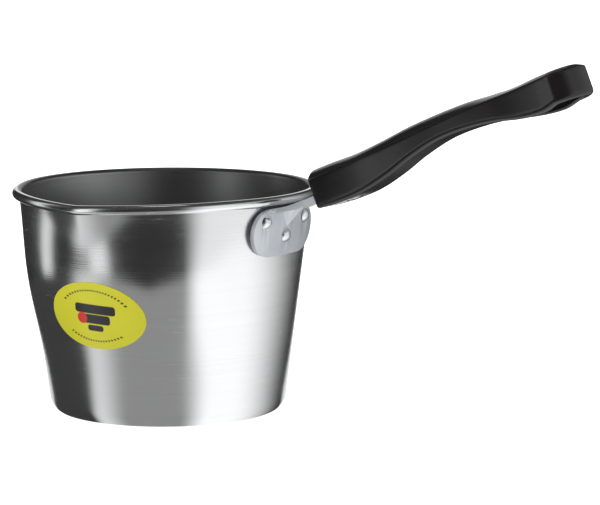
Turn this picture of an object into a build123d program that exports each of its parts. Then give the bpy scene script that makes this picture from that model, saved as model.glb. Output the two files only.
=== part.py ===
"""Milk pan: a drawn aluminium pan with a pouring lip, a riveted bracket and a moulded handle.

Millimetres, +Z up. The origin is on the floor under the middle of the base, the handle points
along +X and the pouring lip lies on the -Y side, for a hand that pours to the left.
"""

import os
from math import acos, atan, cos, degrees, hypot, radians, sin, tan

from build123d import *
from build123d.topology import SkipClean

os.makedirs("parts", exist_ok=True)

# Pan body: one sheet of aluminium, a cone with a rounded foot and a beaded rim
rim_height = 107.4
foot_radius = 55.15
mouth_radius = 68.9
wall_thickness = 1.2
base_thickness = 1.8
knuckle_radius = 8.0
knuckle_side_count = 5
bead_radius = 2.25
bead_side_count = 10
wall_step_count = 5

# Pouring lip: angles are in degrees to either side of the lip's tip
lip_angle = 87
lip_reach = 5.5
lip_dip = 1.7
lip_span = 58
lip_dip_span = 66
lip_tip_span = 1.5
crease_length = 41.4
crease_sharpness = 3
belly_reach = 3.4
belly_foot_height = 18.0
belly_rise = 50.0
belly_flat_span = 40
belly_end_span = 67
belly_loss_share = 0.6
front_step_count = 12
front_step_crowding = 1.5

# Bracket: pressed steel, a curved plate on the wall with a tang folded out of its top edge
plate_width = 46.0
plate_height = 23.0
plate_thickness = 2.0
plate_bend_radius = 125.0
plate_wall_gap = 0.05
bead_gap = 0.4
fold_radius = 2.0
fold_width = 26.0
tang_width = 15.0
tang_taper_length = 11.0
tang_bend_radius = 7.5
tang_length = 28.0
tang_flange_depth = 3.6
tang_flange_thickness = 1.5
tang_flange_lead = 8.0
gusset_height = 11.0
gusset_lead = 10.5
gusset_width = 11.0

# Rivets: domed outside, flat inside
rivet_shank_radius = 2.1
rivet_head_radius = 3.3
rivet_head_height = 1.9
rivet_tail_radius = 3.9
rivet_tail_height = 0.9
rivet_pair_spacing = 29.6
rivet_pair_height_share = 0.735
rivet_low_height_share = 0.40

# Handle: one moulding, its stations are shares of its length, depth and width
handle_slope = 22.7
handle_stand_off = 19.23
handle_rise = 6.4
handle_length = 147.6
handle_depth = 20.0
handle_width = 24.4
handle_edge_bevel = 1.5
handle_end_bevel = 1.2
handle_step_count = 22
station_shares = (0, 0.074, 0.174, 0.275, 0.376, 0.486, 0.598, 0.698, 0.789, 0.869)
top_shares = (0.335, 0.325, 0.295, 0.33, 0.385, 0.40, 0.38, 0.31, 0.275, 0.31, 0.325)
brow_shares = (0.104, 0.106, 0.102, 0.108, 0.137, 0.166, 0.184, 0.18, 0.165, 0.157, 0.16)
under_shares = (0.575, 0.625, 0.62, 0.50, 0.315, 0.19, 0.21, 0.315, 0.475, 0.54, 0.48)
width_shares = (0.80, 0.82, 0.81, 0.76, 0.735, 0.75, 0.78, 0.84, 0.93, 0.985, 1)

# Hanging loop: an egg-shaped hole, wide towards the tip
loop_wall = 4.6
loop_neck_radius = 4.2
loop_length = 35.0

# Tang socket and screw
tang_drop = 5.2
socket_clearance = 0.2
screw_place = 15.6
screw_radius = 2.0
screw_length = 15.0
screw_head_radius = 3.8
screw_head_height = 1.6
screw_recess_radius = 4.2
screw_recess_depth = 0.8
screw_tip_clearance = 0.5

# Label: an oval sticker on the wall under the lip
label_angle = 3
label_width = 49.2
label_height = 31.5
label_thickness = 0.2
label_gap = 0.08
label_centre_height = 54.0
label_tilt = -3

overrun = 5.0
seam_tolerance = 0.001

wall_slope = degrees(atan((mouth_radius - foot_radius) / rim_height))
up_axis = Axis((0, 0, 0), (0, 0, 1))


def ease(share):
    """Smooth step from 0 to 1."""
    share = min(max(share, 0), 1)
    return share * share * (3 - 2 * share)


def cone_radius(height):
    """Outside radius of the plain cone at one height."""
    return foot_radius + (mouth_radius - foot_radius) * height / rim_height


def straightened(arc, side_count):
    """Corner points of an arc that is drawn with straight sides."""
    return [arc @ (k / side_count) for k in range(side_count + 1)]


def pinch(angle, span):
    """A pinched ridge that is 1 at the tip of the lip and fades out at the span."""
    away = (hypot(angle, lip_tip_span) - lip_tip_span) / span
    return max(1 - away, 0) ** 2


def belly(angle, height):
    """How far the wall swells out round the lip."""
    across = 1 - ease((abs(angle) - belly_flat_span) / (belly_end_span - belly_flat_span))
    rise = ease((height - belly_foot_height) / belly_rise)
    top = belly_foot_height + belly_rise
    loss = belly_loss_share * ease((height - top) / (rim_height - top))
    return belly_reach * across * rise * (1 - loss)


def wall_radius(angle, height):
    """Outside radius of the wall, the angle counted from the tip of the lip."""
    crease_share = max(1 - (rim_height - height) / crease_length, 0)
    crease = lip_reach * pinch(angle, lip_span) * crease_share**crease_sharpness
    return cone_radius(height) + belly(angle, height) + crease


def polar(radius, angle, height=0):
    """A point at an angle from the tip of the lip."""
    heading = radians(angle - lip_angle)
    return (radius * cos(heading), radius * sin(heading), height)


front_steps = [belly_end_span * (k / front_step_count) ** front_step_crowding for k in range(front_step_count + 1)]
front_angles = [-angle for angle in reversed(front_steps[1:])] + front_steps
back_span = 360 - 2 * belly_end_span
curl_start = acos(1 - wall_thickness / bead_radius)


def radial_plane(angle):
    """Upright plane through the pan's axis: its x runs outwards and its y upwards."""
    return Plane(origin=(0, 0, 0), x_dir=polar(1, angle), z_dir=polar(1, angle - 90))


def wall_climb(angle, steps):
    """Points up the outside of the wall, from the foot of the belly to the start of the curl."""
    top = rim_height - lip_dip * pinch(angle, lip_dip_span) - bead_radius * (1 + sin(curl_start))
    heights = [belly_foot_height + (top - belly_foot_height) * k / steps for k in range(steps + 1)]
    return [(wall_radius(angle, height), height) for height in heights]


def wall_section(angle, steps, curve):
    """Section of the wall and its rolled bead, the wall drawn with a line or a spline."""
    outside = wall_climb(angle, steps)
    inside = [(radius - wall_thickness, height) for radius, height in outside]
    curl_foot = outside[-1]
    bead_centre = (curl_foot[0] + bead_radius * cos(curl_start), curl_foot[1] + bead_radius * sin(curl_start))
    with BuildSketch(radial_plane(angle)) as section:
        with BuildLine():
            outer_line = curve(*outside)
            curl_turn = 360 - degrees(curl_start)
            curl = CenterArc(bead_centre, bead_radius, 180 + degrees(curl_start), curl_turn, mode=Mode.PRIVATE)
            Polyline(*straightened(curl, bead_side_count))
            inner_line = curve(curl @ 1, *reversed(inside[:-1]))
            Line(inner_line @ 1, outer_line @ 0)
        make_face()
    return section.sketch


def knuckle(height, inset, radius):
    """Rounded corner between a flat and the cone, from the flat upwards."""
    corner_x = cone_radius(height) - inset
    centre = (corner_x - radius / tan(radians(90 + wall_slope) / 2), height + radius)
    arc = CenterArc(centre, radius, -90, 90 - wall_slope, mode=Mode.PRIVATE)
    return straightened(arc, knuckle_side_count)


# Foot: base, rounded corner and plain cone
with BuildPart() as foot:
    with BuildSketch(Plane.XZ):
        with BuildLine():
            Polyline(
                (0, 0),
                *knuckle(0, 0, knuckle_radius),
                (cone_radius(belly_foot_height), belly_foot_height),
                (cone_radius(belly_foot_height) - wall_thickness, belly_foot_height),
                *reversed(knuckle(base_thickness, wall_thickness, knuckle_radius - wall_thickness)),
                (0, base_thickness),
                close=True,
            )
        make_face()
    revolve(axis=up_axis)

# Wall: turned round the back, lofted round the lip
with BuildPart() as back_wall:
    add(wall_section(belly_end_span, 1, Line))
    revolve(axis=up_axis, revolution_arc=back_span)

with BuildPart() as front_wall:
    for angle in front_angles:
        add(wall_section(angle, wall_step_count, Spline))
    loft(ruled=True)

# Places on the wall behind the handle
plate_top = rim_height - 2 * bead_radius - bead_gap
plate_middle = plate_top - plate_height / 2
wall_normal = (cos(radians(wall_slope)), 0, -sin(radians(wall_slope)))
plate_plane = Plane(
    origin=(cone_radius(plate_middle), 0, plate_middle), x_dir=(0, 1, 0), z_dir=wall_normal
).offset(plate_wall_gap)


def rivet_plane(across, height_share):
    """Plane on the wall, square to it, at one rivet."""
    height = plate_top - plate_height * (1 - height_share)
    radius = cone_radius(height)
    heading = across / radius
    normal = (wall_normal[0] * cos(heading), wall_normal[0] * sin(heading), wall_normal[2])
    origin = (radius * cos(heading), radius * sin(heading), height)
    return Plane(origin=origin, x_dir=(-sin(heading), cos(heading), 0), z_dir=normal)


rivet_planes = {
    "rivet_left": rivet_plane(-rivet_pair_spacing / 2, rivet_pair_height_share),
    "rivet_right": rivet_plane(rivet_pair_spacing / 2, rivet_pair_height_share),
    "rivet_lower": rivet_plane(0, rivet_low_height_share),
}

# The three joints of the wall meet face to face and keep their seams
with SkipClean():
    wall_and_foot = foot.part.solid().fuse(back_wall.part.solid(), front_wall.part.solid(), tol=seam_tolerance)


# Handle frame: s runs along the handle, h stands square to it
slope = radians(handle_slope)
handle_start_x = cone_radius(plate_top) + handle_stand_off
handle_start_height = rim_height + handle_rise


def handle_point(s, h):
    """A point in the handle's middle plane."""
    x = handle_start_x + s * cos(slope) - h * sin(slope)
    z = handle_start_height + s * sin(slope) + h * cos(slope)
    return (x, 0, z)


def handle_section_plane(s):
    """Plane square to the handle."""
    return Plane(origin=handle_point(s, 0), x_dir=(0, 1, 0), z_dir=(cos(slope), 0, sin(slope)))


def handle_roof_plane(s, h):
    """Plane along the handle that faces upwards."""
    return Plane(origin=handle_point(s, h), x_dir=(cos(slope), 0, sin(slope)), z_dir=(-sin(slope), 0, cos(slope)))


def side_point(s, h):
    """The same point in the X-Z sketch plane."""
    x, _, z = handle_point(s, h)
    return (x, z)


# Bracket: the plate and its fold are turned round the plate's bend
with BuildPart() as bracket_blank:
    bend_axis = Axis(
        (plate_plane.origin.X - plate_bend_radius * cos(radians(wall_slope)), 0,
         plate_plane.origin.Z + plate_bend_radius * sin(radians(wall_slope))),
        plate_plane.y_dir,
    )
    plate_foot = plate_plane.from_local_coords((0, -plate_height / 2 - overrun, 0))
    plate_head = plate_plane.from_local_coords((0, plate_height / 2, 0))
    fold_reach = fold_radius + plate_thickness
    fold_x = plate_head.X + fold_reach
    tang_x = fold_x + tang_taper_length
    tang_end_x = side_point(tang_length, -tang_drop)[0] + overrun
    tang_start_x = side_point(0, -tang_drop)[0] - (side_point(0, -tang_drop)[1] - plate_top) / tan(slope)
    with BuildSketch(Plane.XZ):
        with BuildLine():
            FilletPolyline(
                (plate_foot.X, plate_foot.Z),
                (plate_head.X, plate_head.Z),
                (tang_start_x, plate_top),
                radius=fold_reach,
            )
            offset(amount=plate_thickness, side=Side.RIGHT)
        make_face()
    revolve(axis=bend_axis, revolution_arc=360)
    with BuildSketch(plate_plane) as front_outline:
        SlotOverall(plate_width, plate_height)
        with Locations((0, plate_height / 4)):
            Rectangle(fold_width, plate_height / 2)
    extrude(amount=fold_reach, both=True, mode=Mode.INTERSECT)
    with BuildSketch(Plane.XZ):
        with BuildLine():
            FilletPolyline(
                (fold_x, plate_top),
                (tang_start_x, plate_top),
                side_point(tang_length, -tang_drop),
                radius=tang_bend_radius,
            )
            offset(amount=plate_thickness, side=Side.RIGHT)
        make_face()
    tang_sheet = extrude(amount=fold_width / 2, both=True, mode=Mode.PRIVATE)
    with BuildSketch(Plane.XY, mode=Mode.PRIVATE) as plan_outline:
        with BuildLine():
            Polyline(
                (fold_x, -fold_width / 2),
                (tang_x, -tang_width / 2),
                (tang_end_x, -tang_width / 2),
                (tang_end_x, tang_width / 2),
                (tang_x, tang_width / 2),
                (fold_x, fold_width / 2),
                close=True,
            )
        make_face()
    add(tang_sheet.intersect(extrude(plan_outline.sketch, amount=2 * rim_height, mode=Mode.PRIVATE)))

    # Turned-down edges of the tang
    with BuildSketch(Plane.XZ):
        Polygon(
            side_point(-tang_flange_lead, -tang_drop),
            side_point(tang_length, -tang_drop),
            side_point(tang_length, -tang_drop - tang_flange_depth),
            side_point(-tang_flange_lead / 2, -tang_drop - tang_flange_depth),
            align=None,
        )
    extrude(amount=tang_width / 2, both=True)
    with BuildSketch(handle_section_plane(-tang_flange_lead)):
        with Locations((0, -tang_drop - plate_thickness - tang_flange_depth / 2)):
            Rectangle(tang_width - 2 * tang_flange_thickness, tang_flange_depth)
    extrude(amount=tang_flange_lead + tang_length, mode=Mode.SUBTRACT)

    # Pressed gusset in the corner of the fold: two facets that meet in a ridge
    ridge_foot = plate_plane.from_local_coords((0, plate_height / 2 - gusset_height, plate_thickness / 2))
    ridge_head = Vector(*handle_point(-gusset_lead, -tang_drop - plate_thickness / 2))
    corner = Vector(plate_head.X + plate_thickness / 2, 0, plate_top - plate_thickness / 2)
    with BuildSketch(Plane.XZ, mode=Mode.PRIVATE) as gusset_side:
        Polygon((ridge_foot.X, ridge_foot.Z), (ridge_head.X, ridge_head.Z), (corner.X, corner.Z), align=None)
    gusset = extrude(gusset_side.sketch, amount=gusset_width / 2, both=True, mode=Mode.PRIVATE)
    for side in (-1, 1):
        facet_edge = corner + Vector(0, side * gusset_width / 2, 0)
        facet_normal = (ridge_head - ridge_foot).cross(facet_edge - ridge_foot) * -side
        facet = Plane(origin=ridge_foot, x_dir=ridge_head - ridge_foot, z_dir=facet_normal)
        gusset = split(gusset, bisect_by=facet, keep=Keep.BOTTOM, mode=Mode.PRIVATE)
    add(gusset)

# Rivets: the shank goes through wall and plate, each head is closed down on its own surface
dome_radius = (rivet_head_radius**2 + rivet_head_height**2) / (2 * rivet_head_height)
rivets = []
for name in ("rivet_left", "rivet_lower"):
    place = rivet_planes[name]
    across = place.origin.Y
    stand_off = across**2 * (1 / cone_radius(place.origin.Z) - 1 / plate_bend_radius) / 2
    head_seat = plate_wall_gap + stand_off + plate_thickness
    head_root = head_seat - plate_thickness / 4
    tail_root = -wall_thickness / 2
    tail_end = -wall_thickness - rivet_tail_height
    with BuildPart() as rivet:
        with BuildSketch(Plane(origin=place.origin, x_dir=place.x_dir, z_dir=-place.y_dir)):
            with BuildLine():
                RadiusArc((rivet_head_radius, head_seat), (0, head_seat + rivet_head_height), -dome_radius)
                Polyline(
                    (0, head_seat + rivet_head_height),
                    (0, head_root),
                    (rivet_head_radius, head_root),
                    (rivet_head_radius, head_seat),
                )
            make_face()
            with BuildLine():
                Polyline(
                    (0, tail_root),
                    (0, tail_end),
                    (rivet_tail_radius, tail_end),
                    (rivet_tail_radius, tail_root),
                    close=True,
                )
            make_face()
        revolve(axis=Axis(place.origin, place.z_dir))
        add(back_wall.part, mode=Mode.SUBTRACT)
        add(bracket_blank.part, mode=Mode.SUBTRACT)
        with BuildSketch(place.offset(tail_end)):
            Circle(rivet_shank_radius)
        extrude(amount=head_seat - tail_end)
    rivet.part.label = name
    rivets.append(rivet)

with BuildPart() as rivet_right:
    mirror(rivets[0].part, about=Plane.XZ)
rivet_right.part.label = "rivet_right"

# Holes that the rivets fill, and the screw hole in the tang
with BuildPart() as rivet_drill:
    for place in rivet_planes.values():
        with BuildSketch(place):
            Circle(rivet_shank_radius)
    extrude(amount=overrun, both=True)

with SkipClean(), BuildPart() as pan_body:
    add(wall_and_foot, clean=False)
    add(rivet_drill.part, clean=False, mode=Mode.SUBTRACT)
pan_body.part.label = "pan_body"

with BuildPart() as handle_bracket:
    add(bracket_blank.part)
    add(rivet_drill.part, mode=Mode.SUBTRACT)
    with BuildSketch(handle_roof_plane(screw_place, -tang_drop)):
        Circle(screw_radius)
    extrude(amount=plate_thickness, both=True, mode=Mode.SUBTRACT)
handle_bracket.part.label = "handle_bracket"

# Handle
loop_middle = handle_length - handle_width / 2
stations = [share * handle_length for share in station_shares] + [loop_middle]


def smooth_share(shares, s):
    """Share at one place along the handle, on a smooth curve through the stations."""
    k = min(sum(station <= s for station in stations), len(stations) - 1) - 1
    slopes = []
    for near in (k, k + 1):
        before = max(near - 1, 0)
        after = min(near + 1, len(stations) - 1)
        slopes.append((shares[after] - shares[before]) / (stations[after] - stations[before]))
    step = stations[k + 1] - stations[k]
    t = (s - stations[k]) / step
    blend = ease(t)
    bow = t * (1 - t) * step * (slopes[0] * (1 - t) - slopes[1] * t)
    return shares[k] * (1 - blend) + shares[k + 1] * blend + bow


def grip_section(s):
    """Cross-section of the handle: an arched crown on straight sides and a flat underside."""
    brow = smooth_share(brow_shares, s) * handle_depth
    top = smooth_share(top_shares, s) * handle_depth
    under = smooth_share(under_shares, s) * handle_depth
    half_width = smooth_share(width_shares, s) * handle_width / 2
    with BuildSketch(handle_section_plane(s)) as section:
        with BuildLine():
            ThreePointArc((-half_width, brow), (0, top), (half_width, brow))
            Polyline(
                (-half_width, brow),
                (-half_width, handle_edge_bevel - under),
                (handle_edge_bevel - half_width, -under),
                (half_width - handle_edge_bevel, -under),
                (half_width, handle_edge_bevel - under),
                (half_width, brow),
            )
        make_face()
    return section.sketch


with BuildPart() as handle_grip:
    for k in range(handle_step_count + 1):
        add(grip_section(loop_middle * k / handle_step_count))
    loft(ruled=True)
    end_face = handle_grip.faces().sort_by(Axis.X)[0]
    chamfer(end_face.edges(), handle_end_bevel)

    # Round end of the loop: half of the last section, turned about the loop's middle
    half_section = split(grip_section(loop_middle), bisect_by=Plane.XZ, keep=Keep.TOP, mode=Mode.PRIVATE)
    loop_plane = handle_roof_plane(loop_middle, 0)
    revolve(half_section, axis=Axis(loop_plane.origin, loop_plane.z_dir), revolution_arc=180)

    # Hanging hole
    hole_radius = handle_width / 2 - loop_wall
    with BuildSketch(loop_plane):
        with BuildLine():
            CenterArc((0, 0), hole_radius, 0, 360)
            CenterArc((hole_radius + loop_neck_radius - loop_length, 0), loop_neck_radius, 0, 360)
        make_hull()
    extrude(amount=handle_depth, both=True, mode=Mode.SUBTRACT)

    # Socket for the tang
    with BuildSketch(handle_section_plane(-overrun)):
        with Locations((0, -tang_drop - tang_flange_depth / 2)):
            Rectangle(tang_width + 2 * socket_clearance, tang_flange_depth + 2 * socket_clearance)
    extrude(amount=overrun + tang_length + socket_clearance, mode=Mode.SUBTRACT)

    # Screw hole and the recess of its head
    screw_floor = handle_depth * under_shares[1]
    with BuildSketch(handle_roof_plane(screw_place, -screw_floor)):
        Circle(screw_recess_radius)
    extrude(amount=screw_recess_depth, both=True, mode=Mode.SUBTRACT)
    with BuildSketch(handle_roof_plane(screw_place, -screw_floor)):
        Circle(screw_radius)
    extrude(amount=screw_recess_depth + screw_length + screw_tip_clearance, mode=Mode.SUBTRACT)
handle_grip.part.label = "handle_grip"

# Screw: from below, through the tang, into the handle
screw_dome_radius = (screw_head_radius**2 + screw_head_height**2) / (2 * screw_head_height)
screw_seat = handle_roof_plane(screw_place, -screw_floor + screw_recess_depth)
with BuildPart() as handle_screw:
    with BuildSketch(Plane(origin=screw_seat.origin, x_dir=screw_seat.x_dir, z_dir=-screw_seat.y_dir)):
        with BuildLine():
            RadiusArc((0, -screw_head_height), (screw_head_radius, 0), -screw_dome_radius)
            Polyline(
                (0, -screw_head_height),
                (0, screw_length),
                (screw_radius, screw_length),
                (screw_radius, 0),
                (screw_head_radius, 0),
            )
        make_face()
    revolve(axis=Axis(screw_seat.origin, screw_seat.z_dir))
handle_screw.part.label = "handle_screw"


def label_section(angle):
    """Section of the sheet that the label is cut from: the wall's own line, moved outwards."""
    climb = wall_climb(angle, wall_step_count)
    inside = [(radius + label_gap, height) for radius, height in climb]
    outside = [(radius + label_gap + label_thickness, height) for radius, height in climb]
    with BuildSketch(radial_plane(angle)) as section:
        with BuildLine():
            Spline(*inside)
            Spline(*outside)
            Line(inside[0], outside[0])
            Line(inside[-1], outside[-1])
        make_face()
    return section.sketch


# Label: an oval that follows the wall under the lip
with BuildPart() as label_sticker:
    for angle in front_angles:
        add(label_section(angle))
    loft(ruled=True)
    label_plane = Plane(
        origin=(0, 0, label_centre_height), x_dir=polar(1, label_angle + 90), z_dir=polar(1, label_angle)
    )
    with BuildSketch(label_plane):
        Ellipse(label_width / 2, label_height / 2, rotation=label_tilt)
    extrude(amount=2 * mouth_radius, mode=Mode.INTERSECT)
label_sticker.part.label = "label_sticker"

pieces = [pan_body, handle_bracket, *rivets, rivet_right, handle_grip, handle_screw, label_sticker]
for piece in pieces:
    export_step(piece.part, f"parts/{piece.part.label}.step")
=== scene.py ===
"""Milk pan: a spun aluminium pan with a pouring lip, a riveted bracket and a moulded handle.

Metres, +Z up, the handle along +X and the pouring lip on the -Y side.
"""

from math import acos, asin, atan, cos, pi, radians, sin, sqrt, tan

import bmesh
import bpy
import numpy as np
from mathutils import Matrix, Vector


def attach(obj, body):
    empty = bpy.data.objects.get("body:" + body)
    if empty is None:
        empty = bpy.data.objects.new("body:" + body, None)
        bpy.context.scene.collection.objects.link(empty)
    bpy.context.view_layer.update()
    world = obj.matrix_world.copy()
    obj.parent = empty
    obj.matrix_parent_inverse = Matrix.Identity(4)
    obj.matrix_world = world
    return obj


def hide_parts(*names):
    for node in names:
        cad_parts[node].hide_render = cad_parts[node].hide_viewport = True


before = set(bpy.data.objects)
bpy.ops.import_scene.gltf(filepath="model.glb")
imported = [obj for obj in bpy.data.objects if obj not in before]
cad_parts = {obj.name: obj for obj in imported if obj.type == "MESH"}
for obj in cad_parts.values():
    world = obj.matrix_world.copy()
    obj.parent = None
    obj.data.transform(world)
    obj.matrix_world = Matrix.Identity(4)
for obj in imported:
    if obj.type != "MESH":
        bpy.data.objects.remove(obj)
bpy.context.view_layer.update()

MM = 0.001

# Pan body
# One disc of aluminium, drawn and spun to a cone on a rounded foot. Its edge is curled outwards
# into a bead, and the pouring lip is then pressed into the rim, which makes the wall swell below.

rim_height = 107.4 * MM
foot_radius = 55.15 * MM
mouth_radius = 68.9 * MM
wall_thickness = 1.2 * MM
base_thickness = 1.8 * MM
knuckle_radius = 8.0 * MM
bead_radius = 2.25 * MM
bead_height = rim_height - bead_radius
cone_share = (mouth_radius - foot_radius) / rim_height
wall_slope = atan(cone_share)
curl_start = acos(1 - wall_thickness / bead_radius)
curl_foot_height = rim_height - bead_radius * (1 + sin(curl_start))
lip_heading = radians(-87)
pole_radius = 0.4 * MM


def cone_radius(height):
    return foot_radius + cone_share * height


def rounded(before, corner, after, radius, count):
    """Points of the arc that rounds a corner between two straight runs."""
    before, corner, after = Vector(before), Vector(corner), Vector(after)
    way_in, way_out = (before - corner).normalized(), (after - corner).normalized()
    half = acos(max(-1, min(1, way_in.dot(way_out)))) / 2
    centre = corner + (way_in + way_out).normalized() * radius / sin(half)
    first = corner + way_in * radius / tan(half) - centre
    last = corner + way_out * radius / tan(half) - centre
    sweep = first.angle_signed(last)
    return [centre + Matrix.Rotation(-sweep * k / (count - 1), 2) @ first for k in range(count)]


def straight(start, end, count):
    """Points of a straight run, without its last one."""
    start, end = Vector(start), Vector(end)
    return [start.lerp(end, k / count) for k in range(count)]


def spun_section():
    """Half section of the plain pan, from the middle of the base round the bead and back inside."""
    foot = (foot_radius, 0)
    curl_foot = Vector((cone_radius(curl_foot_height), curl_foot_height))
    inner_foot = (cone_radius(base_thickness) - wall_thickness, base_thickness)
    inner_rim = curl_foot - Vector((wall_thickness, 0))
    knuckle = rounded((0, 0), foot, curl_foot, knuckle_radius, 14)
    inner_radius = knuckle_radius - wall_thickness
    inner_knuckle = rounded(inner_rim, inner_foot, (0, base_thickness), inner_radius, 12)
    curl_centre = Vector((inner_rim.x + bead_radius, bead_height))
    curl = []
    for k in range(33):
        turn = pi + curl_start + (2 * pi - curl_start) * k / 32
        curl.append(curl_centre + Vector((cos(turn), sin(turn))) * bead_radius)
    pole, inner_pole = (pole_radius, 0), (pole_radius, base_thickness)
    points = straight(pole, knuckle[0], 14) + knuckle
    points += straight(knuckle[-1], curl[0], 44)[1:] + curl
    points += straight(curl[-1], inner_knuckle[0], 44)[1:] + inner_knuckle
    points += straight(inner_knuckle[-1], inner_pole, 14)[1:] + [Vector(inner_pole)]
    return points


def crowded_headings(count):
    """Headings round the pan, closer together where the lip is creased."""
    steps = np.linspace(-1, 1, count, endpoint=False)
    away = np.sign(steps) * (0.45 * np.abs(steps) + 0.55 * np.abs(steps) ** 2.2)
    return lip_heading + pi * away


def show(name, verts, faces):
    """A mesh object of the given points and faces, in the scene."""
    mesh = bpy.data.meshes.new(name)
    mesh.from_pydata([tuple(v) for v in verts], [], faces)
    mesh.validate()
    piece = bpy.data.objects.new(name, mesh)
    bpy.context.scene.collection.objects.link(piece)
    return piece


def turned_faces(across, count):
    """Faces of a turned form with so many points across and round, closed at both poles."""
    faces = []
    for i in range(count):
        for j in range(across - 1):
            a, b = i * across + j, ((i + 1) % count) * across + j
            faces.append((a, b, b + 1, a + 1))
    faces.append([i * across for i in reversed(range(count))])
    faces.append([i * across + across - 1 for i in range(count)])
    return faces


def turned(name, section, headings):
    """A half section turned about the Z axis."""
    verts = [(p[0] * cos(a), p[0] * sin(a), p[1]) for a in headings for p in section]
    return show(name, verts, turned_faces(len(section), len(headings)))


def give(tree, socket, value):
    """Sets a socket to a number, or links another node's output to it."""
    if isinstance(value, bpy.types.NodeSocket):
        tree.links.new(value, socket)
    else:
        socket.default_value = value


def maths(tree, operation, *values):
    """A Math node's result."""
    node = tree.nodes.new("ShaderNodeMath")
    node.operation = operation
    for socket, value in zip(node.inputs, values):
        give(tree, socket, value)
    return node.outputs[0]


def fade(tree, value, start, end, low=0.0, high=1.0):
    """Smooth step of a value from low at start to high at end."""
    node = tree.nodes.new("ShaderNodeMapRange")
    node.interpolation_type = "SMOOTHSTEP"
    for socket, setting in zip(node.inputs[:5], (value, start, end, low, high)):
        give(tree, socket, setting)
    return node.outputs[0]


def new_tree(name, sizes):
    """A geometry tree with named size inputs: the tree, its geometry and its inputs."""
    tree = bpy.data.node_groups.new(name, "GeometryNodeTree")
    tree.interface.new_socket("Geometry", in_out="OUTPUT", socket_type="NodeSocketGeometry")
    tree.interface.new_socket("Geometry", in_out="INPUT", socket_type="NodeSocketGeometry")
    for label, size in sizes.items():
        socket = tree.interface.new_socket(label, in_out="INPUT", socket_type="NodeSocketFloat")
        socket.default_value = size
    entry = tree.nodes.new("NodeGroupInput")
    return tree, entry.outputs["Geometry"], entry.outputs


def finish_tree(tree, geometry, material):
    """Ends a tree in Realize Instances and Set Material."""
    realise = tree.nodes.new("GeometryNodeRealizeInstances")
    paint = tree.nodes.new("GeometryNodeSetMaterial")
    paint.inputs["Material"].default_value = material
    leave = tree.nodes.new("NodeGroupOutput")
    tree.links.new(geometry, realise.inputs[0])
    tree.links.new(realise.outputs[0], paint.inputs["Geometry"])
    tree.links.new(paint.outputs[0], leave.inputs[0])


def made_by(tree, base, name, **changed):
    """The plain mesh object that a tree makes of a base object, which is then removed."""
    modifier = base.modifiers.new(tree.name, "NODES")
    modifier.node_group = tree
    for item in tree.interface.items_tree:
        if item.in_out == "INPUT" and item.socket_type == "NodeSocketFloat":
            modifier[item.identifier] = changed.get(item.name, item.default_value)
    seen = base.evaluated_get(bpy.context.evaluated_depsgraph_get())
    mesh = bpy.data.meshes.new_from_object(seen)
    mesh.name = name
    bpy.data.objects.remove(base)
    piece = bpy.data.objects.new(name, mesh)
    bpy.context.scene.collection.objects.link(piece)
    return piece


def new_material(name):
    """A material with its tree, its shader and the object's coordinates."""
    material = bpy.data.materials.new(name)
    material.use_nodes = True
    tree = material.node_tree
    shader = tree.nodes["Principled BSDF"]
    coordinates = tree.nodes.new("ShaderNodeTexCoord")
    return material, tree, shader, coordinates.outputs["Object"]


def stretched(tree, coordinates, scale):
    """Coordinates scaled by a different amount along each axis."""
    node = tree.nodes.new("ShaderNodeMapping")
    node.inputs["Scale"].default_value = scale
    tree.links.new(coordinates, node.inputs["Vector"])
    return node.outputs["Vector"]


def noise(tree, coordinates, scale, detail=3.0, roughness=0.5):
    """A noise pattern between 0 and 1."""
    node = tree.nodes.new("ShaderNodeTexNoise")
    node.inputs["Scale"].default_value = scale
    node.inputs["Detail"].default_value = detail
    node.inputs["Roughness"].default_value = roughness
    tree.links.new(coordinates, node.inputs["Vector"])
    return node.outputs["Fac"]


def spread(tree, value, low, high, in_low=0.0, in_high=1.0):
    """A pattern's value brought from one range to another."""
    node = tree.nodes.new("ShaderNodeMapRange")
    for socket, setting in zip(node.inputs[:5], (value, in_low, in_high, low, high)):
        give(tree, socket, setting)
    return node.outputs[0]


def mixed(tree, share, first, second):
    """Two colours mixed by a share."""
    node = tree.nodes.new("ShaderNodeMix")
    node.data_type = "RGBA"
    give(tree, node.inputs["Factor"], share)
    give(tree, node.inputs[6], first)
    give(tree, node.inputs[7], second)
    return node.outputs[2]


def bumped(tree, shader, height, strength, distance):
    """Raises the surface by a pattern."""
    node = tree.nodes.new("ShaderNodeBump")
    node.inputs["Strength"].default_value = strength
    node.inputs["Distance"].default_value = distance
    tree.links.new(height, node.inputs["Height"])
    tree.links.new(node.outputs["Normal"], shader.inputs["Normal"])


def worn_edges(tree, low=0.52, high=0.60):
    """How far a spot lies on an outward edge, where handling wears the surface."""
    geometry = tree.nodes.new("ShaderNodeNewGeometry")
    return spread(tree, geometry.outputs["Pointiness"], 0.0, 1.0, low, high)


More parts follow.
